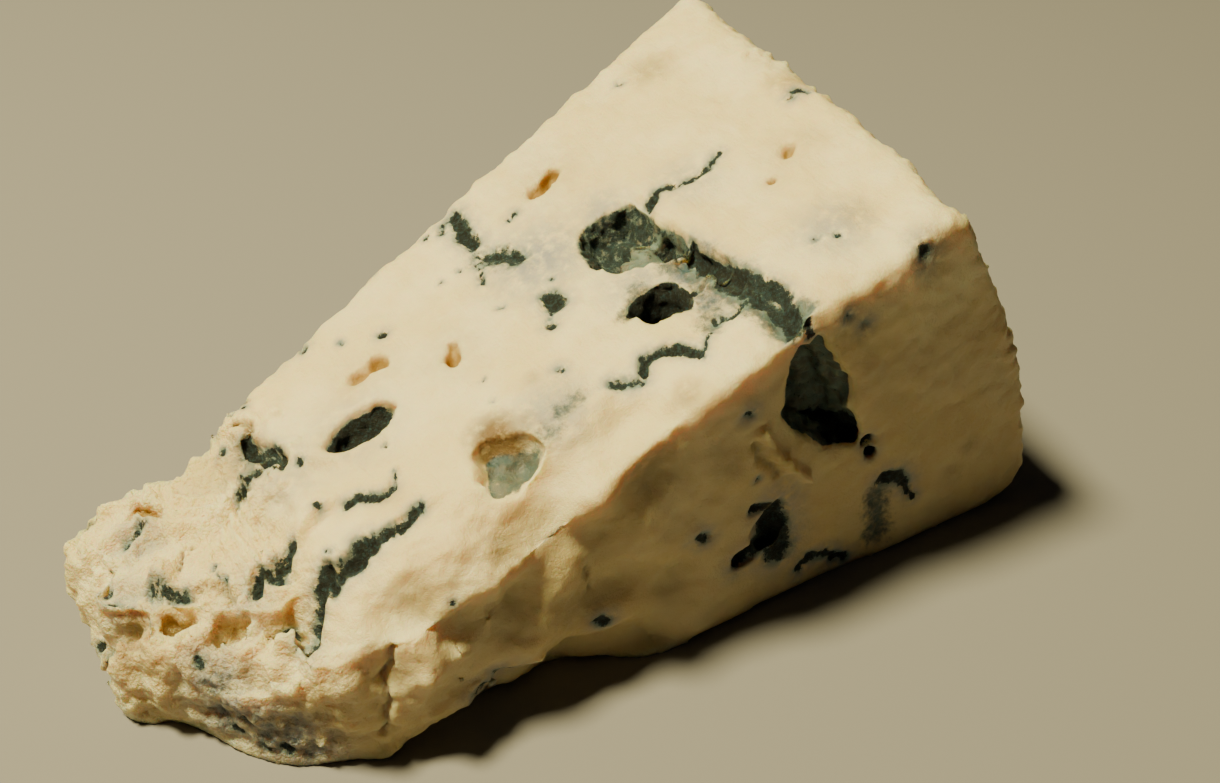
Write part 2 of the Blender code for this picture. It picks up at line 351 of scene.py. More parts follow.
# The two torn halves of the tip: the body's edge along the crack, then the knots of the lump. The
# body's torn top slopes down towards the tip from where it is this far back and up.
TORN_BACK = 86
TORN_UP = 15.2
TORN_SLOPE = 0.32
TORN_DEPTH = 7
KNOT_SIZE = (3.3, 2.4, 6.0)
body_edge = [
    (98.6, 26.0), (97.3, 23.4), (95.4, 21.6), (93.9, 20.2), (92.2, 18.4), (90.8, 17.2), (89.4, 15.3),
    (87.6, 13.9), (86.2, 12.4), (84.6, 10.8), (82.4, 12.0), (84, 15), (86.5, 18.5), (89.5, 22),
    (92.5, 25), (96, 28.5),
]
torn_top = [
    at(back, inward, TORN_UP - TORN_SLOPE * (back - TORN_BACK)) for back, inward in body_edge
]
pit(curd, torn_top, (0, 0, -TORN_DEPTH), 1.0)
for back, inward, top in (
    (96.6, 19.6, 9.6),
    (94.6, 17.4, 12.2),
    (92.4, 15.3, 12.8),
    (90.2, 12.8, 11.8),
    (88.0, 10.8, 13.2),
    (85.8, 8.2, 14.0),
    (83.9, 5.8, 14.4),
    (82.0, 4.0, 15.0),
):
    lump(curd, at(back, inward, top - KNOT_SIZE[2]), KNOT_SIZE, turned(CRACK_TURN, "Z"))
for back, inward, up, size in (
    (90.9, 15.7, 10.4, 1.4),
    (94.9, 19.5, 9.2, 1.3),
    (87.4, 12.2, 11.4, 1.0),
):
    lump(curd, at(back, inward, up), (size, size, 2 * size), roughness=0.5)
bmesh.ops.recalc_face_normals(curd, faces=curd.faces)

# Small crumbs lie about the torn tip, along the step behind it and on the front side below.
for _ in range(70):
    crumb(on_top(dice.uniform(80, 99), dice.uniform(20, 37)), dice.choice((0.3, 0.4, 0.6)))
for _ in range(90):
    crumb(on_top(dice.gauss(79.5, 1.4), dice.uniform(20, 37)), dice.choice((0.4, 0.6, 0.9)))
for _ in range(60):
    crumb(on_front(dice.uniform(62, 96), dice.uniform(1, 14)), dice.choice((0.3, 0.5, 0.8)))

# The voxels leave small steps, which a little smoothing takes off.
block = new_object("curd_block", curd)
skin = block.modifiers.new("skin", "REMESH")
skin.mode = "VOXEL"
skin.voxel_size = VOXEL
graph = bpy.context.evaluated_depsgraph_get()
curd = bmesh.new()
curd.from_mesh(block.evaluated_get(graph).to_mesh())
bpy.data.objects.remove(block)
for _ in range(SMOOTHINGS):
    bmesh.ops.smooth_vert(
        curd, verts=curd.verts, factor=0.5, use_axis_x=True, use_axis_y=True, use_axis_z=True
    )
curd.normal_update()
surface = BVHTree.FromBMesh(curd)


# The veins and stains. Blue mould grows where air reached the curd: along cracks, in pockets and
# in specks round them. Each is a line on the surface, with its width, its depth and its colour.

places = np.array([vert.co for vert in curd.verts])
outwards = np.array([vert.normal for vert in curd.verts])
finder = KDTree(len(places))
for index, place in enumerate(places):
    finder.insert(place, index)
finder.balance()
STAINS = ("mould", "pale_mould", "haze", "amber", "tan", "bare")
stains = {name: np.zeros(len(places)) for name in STAINS}
sunk = np.zeros(len(places))
mm_back = (RIM_FOOT_X - places[:, 0]) / MM
mm_inward = (places[:, 1] - FRONT_Y) / MM
mm_up = places[:, 2] / MM
below_top = top_up(mm_back) - mm_up
# The front side's bumps go in by up to this much, and only its openings go deeper.
FRONT_DENTS = 0.25
behind_front = mm_inward - FRONT_DENTS

# A stain is solid over this share of its half width, and a groove slopes out to so many of them.
SOLID_SHARE = 0.4
GROOVE_SLOPES = 1.6

# A vein is made of places this far apart, and wanders by this much, in bends about so long.
VEIN_STEP = 0.5
WANDER = 0.35
WANDER_LENGTH = 1.7

# It is so many times its drawn width, more or less by this much, and changes over this length.
SWELLING = 1.2
SWELLING_CHANGE = 0.45
SWELLING_LENGTH = 1.6 * MM

# The haze round mould is so many times its width, this strong, and fades over so many half widths.
HAZE_WIDTH = 1.3
HAZE_STRENGTH = 0.5
HAZE_EDGE = 2.6

# An opening's lining gains its strength over this much depth, and loses it near its reach.
LINING_DEPTH = 0.5
LINING_EDGE = 3


def nearby(centre, reach):
    """The skin's points within reach of a place and how far away each is. None has no points."""
    found = finder.find_range(centre, reach) if centre else []
    return np.array([item[1] for item in found], int), np.array([item[2] for item in found])


def grow(stain, centre, width, strength=1.0, edge=1.0):
    """Stains the skin within half of width, fading out over the same distance again times edge."""
    half = 0.5 * width * MM
    index, away = nearby(centre, half * (1 + edge))
    if edge > 1:
        fresh = strength * smooth(1 - away / (half * (1 + edge)))
    else:
        past_solid = np.maximum(away - half * SOLID_SHARE, 0) / (half * (1 - SOLID_SHARE))
        fresh = strength * np.clip(1 - 0.5 * past_solid, 0, 1)
    stains[stain][index] = np.maximum(stains[stain][index], fresh)


def sink(centre, width, depth):
    """Presses the skin in, or out where depth is negative."""
    reach = 0.5 * width * MM * GROOVE_SLOPES
    index, away = nearby(centre, reach)
    fresh = depth * MM * smooth(1 - away / reach)
    deeper = np.abs(fresh) > np.abs(sunk[index])
    sunk[index[deeper]] = fresh[deeper]


def trail(on_side, stops):
    """Close places on a side of the cheese, along a line through the stops, wandering a little."""
    for (a0, b0), (a1, b1) in zip(stops, stops[1:]):
        length = math.hypot(a1 - a0, b1 - b0)
        count = max(2, int(length / VEIN_STEP))
        for number in range(count + 1):
            share = number / count
            a, b = a0 + (a1 - a0) * share, b0 + (b1 - b0) * share
            drift = noise.noise_vector(Vector((a, b, 0.0)) / WANDER_LENGTH) * WANDER
            place = on_side(a + drift.x, b + drift.y)
            if place:
                yield place


def vein(on_side, width, depth, stops, stain="mould", strength=1.0):
    """A stained groove through the stops, or a ridge where depth is negative. Mould gets a haze."""
    for centre in trail(on_side, stops):
        swelling = SWELLING + SWELLING_CHANGE * noise.noise(centre / SWELLING_LENGTH)
        grow(stain, centre, width * swelling, strength)
        sink(centre, width * swelling, depth * swelling)
        if stain == "mould":
            grow("haze", centre, width * HAZE_WIDTH, HAZE_STRENGTH, edge=HAZE_EDGE)


def fill(stain, buried, centre, reach, strength=1.0, lip=0.35):
    """Stains the walls of an opening: what lies within reach and is buried deeper than its lip."""
    index, away = nearby(centre, reach * MM)
    deep = smooth((buried[index] - lip) / LINING_DEPTH)
    fresh = strength * deep * smooth(LINING_EDGE * (1 - away / (reach * MM)))
    stains[stain][index] = np.maximum(stains[stain][index], fresh)


def speck(on_side, a, b, width, depth=0.35, strength=1.0):
    """A dot of mould: a vein that is shorter than it is wide."""
    stops = [(a, b), (a + 0.25 * width, b + 0.2 * width)]
    vein(on_side, width, depth, stops, strength=strength)


# The veins wander by noise_vector, which is different in each run unless its seed is set.
WANDER_SEED = 5
noise.seed_set(WANDER_SEED)

# The long cracks of the top, from the rim to the tip.
vein(on_top, 1.3, 1.1, [(35.3, 22), (35.4, 19), (34.9, 16), (35.0, 12.5), (34.2, 10)])
vein(on_top, 1.7, 0.3, [(36.2, 14.5), (35.2, 11), (34.9, 7.5), (34.2, 3.5), (34.4, 0.5)], strength=0.85)
vein(on_top, 3.2, 0.3, [(37.0, 18.0), (36.0, 14.0), (35.4, 10), (35.2, 6), (34.8, 2.5)], "pale_mould")
vein(on_top, 2.4, 0.2, [(37.5, 12.0), (38.4, 9.4), (39.6, 7.6)], "pale_mould", 0.7)
vein(on_top, 1.6, 0.1, [(44.4, 15.0), (43.4, 16.2), (41.6, 17.4)], "pale_mould", 0.75)
vein(on_top, 1.1, 0.6, [(34.2, 10), (33.5, 7), (33.1, 4), (33.9, 1.2)], strength=0.85)
vein(on_top, 2.0, 0.5, [(35.8, 12), (35.2, 9), (34.6, 6), (35.0, 3), (34.6, 0.5)], "pale_mould")
vein(on_top, 0.8, 0.4, [(36.0, 7.6), (37.4, 7.0), (39.0, 7.8)], strength=0.8)
vein(on_top, 0.9, 0.6, [(34.6, 26.4), (33.0, 27.2), (31.8, 26.7)])
vein(on_top, 0.8, 0.45, [(31.8, 26.7), (30.4, 26.0), (28.0, 26.2), (26.6, 26.6), (25.2, 27.3)], strength=0.78)
vein(on_top, 0.9, 0.6, [(47.3, 7.6), (46.4, 8.7), (44.2, 8.4), (43.2, 7.2), (42.6, 5.2)])
vein(on_top, 0.6, 0.35, [(42.4, 4.8), (41.4, 6.0), (40.4, 6.8)], strength=0.8)
vein(on_top, 1.1, 0.4, [(50.2, 8.4), (49.4, 7.6), (48.2, 6.9)], strength=0.72)
vein(on_top, 0.8, 0.8, [(75.7, 15.1), (74.6, 14.9), (73.8, 13.8), (72.8, 13.1), (71.6, 13.4)])
vein(on_top, 0.4, 0.4, [(71.6, 13.4), (70.8, 14.0), (70.5, 14.8)])
vein(on_top, 1.3, 0.9, [(84.0, 6.4), (82.8, 8.0), (81.4, 9.4), (80.3, 9.9)])
vein(on_top, 1.2, 0.8, [(80.2, 8.6), (78.8, 8.7), (77.6, 8.5), (77.2, 9.4), (75.8, 8.9)])
vein(on_top, 0.7, 0.5, [(75.8, 8.9), (74.2, 8.6), (72.4, 8.8), (70.6, 9.0)])
vein(on_top, 0.5, 0.3, [(79.5, 11.2), (79.0, 10.2)], strength=0.8)
vein(on_top, 0.9, 0.9, [(86.2, 14.9), (84.8, 15.5), (83.6, 14.8), (82.6, 15.1), (81.4, 15.6)], strength=0.8)
vein(on_top, 0.9, 0.7, [(93.5, 22.6), (93.0, 21.2), (92.4, 20.6), (91.4, 19.8)], strength=0.74)
vein(on_top, 0.6, 0.9, [(91.4, 19.6), (90.0, 18.8), (88.6, 17.6), (87.2, 15.8)], "tan", 0.7)
vein(on_top, 0.4, 0.4, [(90.6, 22.9), (89.6, 24.2), (88.4, 25.0)], "tan")
vein(on_top, 0.4, 0.3, [(87.6, 20.6), (88.0, 19.4), (87.6, 17.4)], strength=0.7)
vein(on_top, 0.6, 0.8, [(82.9, 26.0), (81.8, 26.8), (80.4, 26.9), (79.2, 26.2), (78.4, 24.9)])
vein(on_top, 0.7, 0.8, [(80.3, 33.9), (79.3, 33.0), (78.8, 31.8), (79.2, 30.8)], "tan")
vein(on_top, 1.6, 0.9, [(79.6, 30.5), (79.2, 28.4), (78.4, 26.8)], strength=0.82)
vein(on_top, 0.9, 0.5, [(78.2, 28.6), (77.6, 27.0), (78.0, 25.0)])
vein(on_top, 0.6, 0.5, [(93.6, 30.0), (92.6, 30.1), (91.9, 31.0), (91.2, 30.6)], strength=0.8)

# The speckled column by the back edge, and what trails down from it.
vein(on_top, 1.6, 0.5, [(49.4, 42.8), (49.6, 41.0), (50.2, 38.8), (50.0, 37.4)], strength=0.95)
vein(on_top, 0.9, 0.3, [(51.4, 41.4), (50.8, 42.2)], strength=0.75)
vein(on_top, 0.8, 0.3, [(50.6, 36.6), (50.4, 35.0), (49.6, 34.0)], strength=0.66)
vein(on_top, 2.0, 0.5, [(49.6, 33.8), (48.6, 32.8), (47.8, 31.4)], strength=0.74)
vein(on_top, 0.7, 0.3, [(51.9, 31.3), (51.4, 32.4), (51.2, 34.2)], strength=0.72)
vein(on_top, 3.4, 0.0, [(50.4, 35.0), (49.0, 33.0), (48.4, 30.6)], "pale_mould", 0.55)
vein(on_top, 1.7, 0.6, [(48.6, 23.6), (48.3, 22.2)])
vein(on_top, 0.5, 0.2, [(49.2, 21.8), (50.0, 20.8)], strength=0.7)
vein(on_top, 1.3, 0.3, [(96.4, 36.6), (95.6, 37.4), (95.2, 36.4)], "pale_mould", 0.8)
vein(on_top, 1.6, 0.2, [(79.2, 36.4), (77.6, 36.2)], "pale_mould", 0.75)
vein(on_top, 1.4, 0.2, [(97.2, 24.2), (96.6, 23.4)], strength=0.66)
vein(on_top, 2.6, 0.2, [(59.2, 8.2), (57.0, 7.6)], "pale_mould", 0.62)
vein(on_top, 2.0, 0.2, [(55.6, 9.0), (53.4, 9.2)], "pale_mould", 0.7)

# Specks: how far back and inward, how wide and how strong.
for back, inward, width, strength in (
    (53.1, 42.2, 0.6, 0.9),
    (44.7, 37.5, 0.7, 0.95),
    (45.6, 37.3, 0.6, 0.75),
    (62.8, 32.9, 0.8, 1.0),
    (66.8, 35.3, 0.5, 0.75),
    (55.1, 34.5, 0.4, 0.8),
    (53.0, 34.6, 0.4, 0.8),
    (50.3, 19.4, 0.9, 1.0),
    (52.5, 26.2, 0.6, 0.7),
    (46.8, 25.8, 0.6, 0.62),
    (53.0, 13.5, 0.9, 0.7),
    (58.5, 18.7, 0.3, 0.9),
    (59.3, 15.4, 0.3, 0.7),
    (69.6, 19.0, 0.4, 0.9),
    (78.0, 16.2, 0.6, 0.85),
    (78.0, 35.0, 0.7, 0.9),
    (24.9, 7.3, 0.6, 0.85),
    (26.6, 8.2, 0.9, 0.5),
    (25.5, 46.7, 0.6, 0.9),
    (14.3, 28.4, 1.1, 0.85),
    (15.6, 28.0, 0.9, 0.7),
    (13.5, 27.6, 0.7, 0.8),
    (76.6, 23.2, 0.6, 0.9),
    (97.3, 21.5, 0.8, 0.85),
    (95.8, 22.1, 0.5, 0.85),
    (98.8, 26.4, 1.0, 0.8),
    (97.0, 26.4, 0.8, 0.75),
    (96.8, 11.0, 0.9, 0.8),
    (71.7, 0.9, 0.5, 0.7),
):
    speck(on_top, back, inward, width, strength=strength)

# The amber walls of the eyes, and of the crack beside the lump, where light soaks through.
for back, inward, size, _degrees in EYES[1:]:
    fill("amber", below_top, at(back, inward, top_up(back)), 1.6 * max(size))
    grow("tan", at(back, inward, top_up(back)), 2.4 * max(size[:2]), 0.22, edge=2.0)
fill("amber", below_top, at(90.7, 32.6, 14), 3.5, lip=2.75)
for back, inward, _half_width, _floor_up in CRACK[2:]:
    grow("amber", at(back, inward + 1.4, 9.5), 3.6, 0.42, edge=0.6)
grow("mould", at(84.3, 10.6, 11.6), 2.0, 1.0, edge=0.8)
# Painted shadow: a mould stain darkens the deep left end of the crack, where the gap lies in shade.
grow("mould", at(98.6, 23.4, 4.0), 3.0, 0.8, edge=0.8)

# Brown stains on the top.
for back, inward, width, strength in (
    (80.4, 28.6, 3.6, 0.6),
    (82.6, 29.4, 2.4, 0.4),
    (83.6, 31.6, 4.0, 0.25),
    (81.4, 35.2, 1.2, 0.5),
    (61.4, 11.0, 3.0, 0.8),
    (58.6, 10.6, 1.6, 0.5),
    (22.0, 46.0, 3.4, 0.5),
    (18.5, 21.2, 3.0, 0.25),
    (21.4, 8.2, 2.6, 0.3),
    (13.5, 31.4, 3.0, 0.5),
    (13.0, 36.4, 3.0, 0.25),
    (97.4, 19.6, 4.0, 0.6),
    (98.2, 24.0, 4.6, 0.35),
    (93.6, 18.6, 1.6, 0.4),
    (55.4, 14.7, 1.0, 0.4),
    (74.0, 2.0, 2.4, 0.35),
    (72.4, 11.8, 2.4, 0.25),
    (46.0, 1.8, 2.2, 0.55),
    (66.0, 1.6, 1.6, 0.4),
    (81.6, 0.6, 2.6, 0.4),
):
    grow("tan", on_top(back, inward), width, strength, edge=1.8)

# Grey clouds round the mould.
for back, inward, width, strength in (
    (46.5, 29.6, 7.0, 0.55),
    (44.0, 30.5, 4.0, 0.4),
    (38.0, 30.2, 4.0, 0.4),
    (30.0, 26.5, 5.0, 0.3),
    (41.0, 18.0, 5.0, 0.4),
    (37.0, 11.0, 4.0, 0.6),
    (36.4, 15.6, 3.4, 0.8),
    (56.0, 9.4, 5.0, 0.45),
    (24.6, 8.6, 5.0, 0.4),
    (70.5, 23.0, 6.0, 0.35),
    (92.5, 29.5, 3.4, 0.4),
    (79.0, 23.0, 5.0, 0.3),
    (96.5, 23.0, 5.0, 0.35),
    (87.0, 14.0, 4.0, 0.3),
):
    grow("haze", on_top(back, inward), width, strength, edge=1.8)

# The front side: a dark patch of mould over the foot, two raised flakes of curd, and specks.
vein(on_front, 2.6, 0.7, [(36.0, 13.6), (35.8, 11.4), (35.0, 9.0), (35.2, 7.4)])
vein(on_front, 1.7, 0.6, [(40.2, 8.1), (38.6, 8.8), (36.6, 9.0)])
vein(on_front, 0.8, 0.4, [(38.8, 14.2), (37.0, 14.0)])
vein(on_front, 1.6, 0.5, [(21.4, 10.8), (20.0, 10.6), (18.7, 9.2)])
vein(on_front, 0.8, 0.3, [(18.7, 9.2), (17.8, 7.6), (17.0, 6.4)])
vein(on_front, 3.4, 0.3, [(22.4, 8.6), (21.6, 5.6), (21.4, 3.2)], "pale_mould", 0.85)
vein(on_front, 1.2, 0.4, [(31.8, 3.2), (30.6, 4.0), (28.8, 3.2), (27.0, 2.2), (25.6, 1.4)], strength=0.85)
vein(on_front, 0.9, 0.4, [(34.0, 36.0), (33.4, 34.8), (33.0, 33.4)])
vein(on_front, 1.8, 0.2, [(34.8, 36.2), (34.0, 34.6)], "pale_mould", 0.8)
vein(on_front, 1.0, -1.1, [(38.4, 24.6), (37.0, 21.6), (35.0, 18.6), (32.2, 15.8)], "haze", 0.0)
vein(on_front, 0.9, 0.5, [(39.4, 23.2), (37.8, 20.4), (36.0, 18.0)], "tan", 0.6)
vein(on_front, 0.6, 0.9, [(78.6, 15.0), (79.4, 11.0), (79.0, 8.0), (79.8, 4.0)], "haze", 0.2)
vein(on_front, 0.6, 0.4, [(58.0, 15.2), (57.2, 13.8)], "tan", 1.0)
vein(on_front, 0.4, 0.3, [(57.2, 13.8), (56.8, 11.6)], "tan", 0.6)
for back, up, width, strength in (
    (44.8, 13.3, 1.2, 0.8),
    (56.0, 7.6, 1.2, 0.85),
    (57.0, 8.2, 0.6, 0.8),
    (38.4, 18.4, 0.5, 0.8),
    (40.2, 27.6, 1.0, 0.75),
    (46.8, 33.4, 1.6, 0.62),
    (18.6, 38.6, 1.7, 0.74),
    (28.8, 34.2, 0.9, 0.6),
    (26.6, 32.6, 0.9, 0.55),
    (29.0, 19.4, 1.4, 1.0),
    (27.2, 18.8, 1.2, 1.0),
    (24.0, 17.0, 1.1, 1.0),
    (23.6, 15.3, 1.0, 1.0),
    (66.5, 5.2, 1.8, 0.8),
    (68.8, 3.8, 1.8, 0.7),
):
    speck(on_front, back, up, width, strength=strength)
for back, up, width, strength in (
    (50.4, 24.6, 3.6, 0.5),
    (42.4, 22.0, 2.6, 0.35),
    (59.0, 10.6, 4.0, 0.35),
    (66.0, 20.5, 2.4, 0.5),
    (17.4, 38.4, 4.0, 0.4),
    (28.0, 33.4, 5.0, 0.35),
    (10.0, 10.8, 1.6, 0.35),
    (12.0, 7.4, 2.0, 0.3),
):
    grow("tan", on_front(back, up), width, strength, edge=1.8)
for back, up in (
    (91.8, 9.0),
    (91.0, 6.5),
    (89.0, 5.5),
    (92.0, 4.0),
    (89.4, 3.0),
    (87.2, 4.2),
    (86.0, 2.4),
):
    grow("pale_mould", on_front(back, up), 4.2, 0.62, edge=1.3)
    grow("haze", on_front(back, up), 5.0, 0.5, edge=1.6)
for back, up in ((91.2, 3.0), (89.4, 1.8), (90.2, 4.8), (87.6, 2.2), (92.4, 10.2)):
    speck(on_front, back, up, 1.0, strength=0.8)


# A stray vein turns a little after each stretch this long.
STRETCH = 2


def stray_veins(on_side, spans, count, lengths):
    """Veins that wander over a side which the knife cut elsewhere through the same mould."""
    (a_low, a_high), (b_low, b_high) = spans
    for _ in range(count):
        a, b = dice.uniform(a_low, a_high), dice.uniform(b_low, b_high)
        heading = dice.uniform(0, 2 * math.pi)
        stops = [(a, b)]
        for _ in range(dice.randint(*lengths)):
            heading += dice.gauss(0, 0.6)
            a, b = a + STRETCH * math.cos(heading), b + STRETCH * math.sin(heading)
            stops.append((a, b))
        stops = [(a, b) for a, b in stops if a_low < a < a_high and b_low < b < b_high]
        if len(stops) > 1:
            kind = dice.choice(("mould", "mould", "mould", "pale_mould"))
            width, depth = dice.choice((0.6, 0.9, 1.3, 2.0)), dice.uniform(0.3, 0.8)
            vein(on_side, width, depth, stops, kind, dice.uniform(0.7, 1.0))


# The back side and the rim are hidden from the front, and the same mould shows there.
stray_veins(on_back, ((16, 92), (3, 30)), 22, (1, 4))
for _ in range(40):
    back, up, width = dice.uniform(12, 95), dice.uniform(2, 32), dice.uniform(0.4, 1.1)
    speck(on_back, back, up, width, strength=dice.uniform(0.6, 1.0))
for _ in range(7):
    back, up, size = dice.uniform(20, 88), dice.uniform(5, 24), dice.uniform(1.6, 3.2)
    sink(on_back(back, up), 2.2 * size, 0.8 * size)
    grow("mould", on_back(back, up), 1.7 * size, 1.0)
    grow("haze", on_back(back, up), 2.6 * size, 0.5, edge=1.8)
for _ in range(26):
    inward, up = dice.uniform(2, 54), dice.uniform(3, 36)
    speck(on_rim, inward, up, dice.uniform(0.5, 1.4), depth=0.5, strength=dice.uniform(0.45, 0.8))

# The pockets are lined with mould: where each lies, how far it reaches and how dark it is.
for back, inward, reach, darkness in (
    (39.6, 27.2, 6.6, 0.66),
    (37.6, 22.0, 5.6, 0.52),
    (41.0, 14.4, 5.4, 1.0),
    (35.0, 16.0, 3.4, 0.9),
    (70.8, 23.2, 5.4, 0.95),
):
    fill("mould", below_top, at(back, inward, top_up(back) - 1.5), reach, darkness)
fill("pale_mould", below_top, at(38.6, 23.8, top_up(38.6) - 2), 8.5)
fill("pale_mould", below_top, at(61.8, 9.4, top_up(61.8) - 2.6), 5.0, lip=1.9)

# The knots of curd among the pockets stay nearly bare of mould.
for back, inward, drop, width in (
    (36.8, 17.2, 1.2, 3.0),
    (36.6, 14.6, 1.0, 2.6),
    (38.0, 20.8, 4.0, 5.0),
):
    grow("bare", at(back, inward, top_up(back) - drop), width, 1.0, edge=0.6)
stains["mould"] *= 1 - 0.75 * stains.pop("bare")

# The crevice by the tip, the pale pocket's brown wall and the front cavity's lining.
grow("mould", at(79.2, 28.4, top_up(79.2) - 2.8), 3.4, 0.75, edge=0.5)
grow("tan", at(60.8, 11.8, top_up(60.8) - 2.0), 5.0, 1.6, edge=0.6)
for back, up, reach in ((32.0, 26.5, 9.0), (29.6, 20.5, 7.0), (33.0, 31.6, 5.0)):
    fill("pale_mould", behind_front, at(back, 1.5, up), reach, 1.3)
    fill("mould", behind_front, at(back, 1.5, up), reach, 0.38)
fill("mould", behind_front, at(26.4, 2.5, 17.0), 3.6, 0.9)


# The worked surface. A wire drags through the curd, so the cuts are nearly smooth, the slab by
# the rim stands a little proud, and the tip has torn into ledges along its veins.

facing_up = smooth((outwards[:, 2] - 0.3) / 0.4)
facing_front = smooth((-outwards[:, 1] - 0.4) / 0.3)


LEDGE_SLOPE = 0.5


def ledge(line, height, reach):
    """How far the skin rises on one side of a line of (back, inward) places, fading with distance."""
    best = np.full(len(places), np.inf)
    side = np.zeros(len(places))
    for (a0, b0), (a1, b1) in zip(line, line[1:]):
        da, db = a1 - a0, b1 - b0
        length = math.hypot(da, db)
        along = ((mm_back - a0) * da + (mm_inward - b0) * db) / length
        across = ((mm_back - a0) * db - (mm_inward - b0) * da) / length
        beyond = np.maximum(np.maximum(-along, along - length), 0)
        away = np.hypot(across, beyond)
        nearer = away < best
        best[nearer] = away[nearer]
        side[nearer] = np.where(beyond[nearer] < reach, across[nearer], 0)
    rise = smooth(0.5 + side / LEDGE_SLOPE / 2) - 0.5
    return height * rise * smooth(1 - best / reach) * facing_up


# Each ledge: its line of (back, inward) places, its height and how far back its top slopes down.
raised = np.zeros(len(places))
for line, height, reach in (
    ([(35.0, 24), (35.4, 20), (34.8, 15), (35.0, 12), (33.8, 9), (33.0, 4), (34.4, -2)], 1.3, 9),
    ([(85.0, 5.0), (82.5, 8.4), (80.2, 9.8), (77.2, 9.0), (72.0, 8.8)], 1.3, 6),
    ([(94.5, 24), (92.5, 20.5), (90, 18.4), (87, 16.0), (83, 14.8), (80, 15.4)], 1.7, 6),
    ([(83.0, 26.0), (80.4, 26.9), (78.2, 24.4), (76.4, 22.6)], 1.3, 5),
    ([(96.0, 31.0), (92.0, 30.6), (89.0, 28.0), (86.5, 26.0)], 1.2, 6),
    ([(91.5, 22.0), (90.0, 24.0), (87.5, 25.4)], 0.8, 4),
    ([(47.4, 7.6), (46.2, 8.8), (43.8, 8.2), (42.4, 4.8)], 0.5, 3),
    ([(75.8, 15.2), (73.8, 13.8), (72.6, 13.0), (70.6, 14.6)], 0.5, 3),
):
    raised += ledge(line, height, reach)

# How much each place belongs to the torn tip, the lumpy shoulder, the rim and the rough curd, by
# how far back, inward and up it is and by which way it faces. The foot is kept calm.
torn = smooth((mm_back + 0.1 * mm_inward - 80) / 5)
shoulder = smooth((mm_back - 42) / 8) * smooth((84 - mm_back) / 8) * smooth((8 - mm_inward) / 4)
rim_side = smooth((outwards[:, 0] - 0.35) / 0.3) * smooth((40 - mm_back) / 10)
rough = np.maximum(torn, 0.55 * smooth((mm_back - 60) / 8) * smooth((8 - mm_inward) / 5))
rough = np.maximum(rough, 0.5 * rim_side)
rough = np.maximum(rough, np.maximum(stains["mould"], stains["pale_mould"]))
calm_base = smooth(mm_up / 1.5)

# The torn curd breaks in thin layers, so its top goes down in steps. The layers are this thick,
# and swirl up and down by this much over so many millimetres. A step takes this share of a layer.
LAYER = 1.5
LAYER_SWIRL = 3.2
LAYER_SWIRL_WIDTH = 6.5 * MM
LAYER_STEP = 0.3
swirl = np.array([noise.noise(Vector(place) / LAYER_SWIRL_WIDTH) for place in places])
layer_share = np.mod((mm_up + LAYER_SWIRL * swirl) / LAYER, 1.0)
stepped = smooth((layer_share - 0.5) / LAYER_STEP + 0.5) - layer_share
raised += LAYER * stepped * torn * facing_up

# Grains of each size lie all over: how wide and high they are, and how much higher where the curd
# is rough. Hills run along the shoulder, and bites are out of the torn curd.
GRAINS = ((4.2, 0.24, 0.30), (1.7, 0.20, 0.28), (0.75, 0.10, 0.22))
HILL_WIDTH = 6.0 * MM
HILL_HEIGHT = 2.2
HILL_LEVEL = 0.3
HILL_PLACE = Vector((2, 8, 5))
BITE_WIDTH = 2.8 * MM
BITE_DEPTH = 0.9
SPARED_AT_FRONT = 0.6
BITE_PLACE = Vector((7, 3, 1))
moved = places.copy()
for index in range(len(places)):
    spot = Vector(places[index])
    push = 0.0
    for width, height, rough_height in GRAINS:
        push += (height + rough[index] * rough_height) * noise.noise(spot / (width * MM))
    hill = noise.noise(spot / HILL_WIDTH + HILL_PLACE) - HILL_LEVEL
    bite = abs(noise.noise(spot / BITE_WIDTH + BITE_PLACE))
    push += HILL_HEIGHT * shoulder[index] * hill
    push -= (BITE_DEPTH - SPARED_AT_FRONT * facing_front[index]) * torn[index] * bite
    moved[index] += outwards[index] * (push * MM - sunk[index]) * calm_base[index]
moved[:, 2] += raised * MM

# The rim is worn round by this much at its foot and at its front upper corner.
WORN_FOOT = 3.5
WORN_CORNER = 1.7
near_corner = smooth((24 - mm_back) / 8) * smooth((12 - mm_inward) / 9)
foot_wear = WORN_FOOT * np.clip(1 - mm_up / 5, 0, 1) ** 2 * smooth((14 - mm_back) / 12)
foot_wear *= 0.5 + 0.5 * smooth((24 - mm_inward) / 16)
corner_wear = WORN_CORNER * smooth((mm_up - 30) / 7) * near_corner
moved[:, 0] -= (foot_wear + corner_wear) * MM

# The foot keeps its height, and nothing above it sinks lower than this.
FOOT_UP = 0.3 * MM
LOWEST = 0.1 * MM
at_foot = places[:, 2] < FOOT_UP
moved[:, 2] = np.where(at_foot, places[:, 2], np.maximum(moved[:, 2], LOWEST))
for vert, place in zip(curd.verts, moved):
    vert.co = place

# The mesh carries the stains, how torn or ripened each place is, and the painted shade of the front side.
stains["rind"] = rim_side * smooth((mm_up - 0.5) / 2)
stains["torn"] = torn
# Painted shade: sides that face the front are browned for the shade they lie in, fully up to 26 mm and fading
# out by 36 mm.
stains["front_shade"] = facing_front * smooth((30 - mm_up) / 10 + 0.6)
layers = {name: curd.verts.layers.float.new(name) for name in stains}
for name in stains:
    for vert, value in zip(curd.verts, stains[name]):
        vert[layers[name]] = float(value)

# The base is one clean cut, flat on what it lies on. It is cut into a grid to carry its stains.
BASE_CUT = 0.12 * MM
BASE_GRID = 3.0 * MM
BASE_CLOUD = 9 * MM
BASE_PATCH = 4 * MM


def bisect(bm, geometry, point, normal, clear=False):
    """Cuts along a plane, and takes off what lies past it if clear is set."""
    return bmesh.ops.bisect_plane(
        bm, geom=geometry, plane_co=point, plane_no=normal, clear_outer=clear
    )


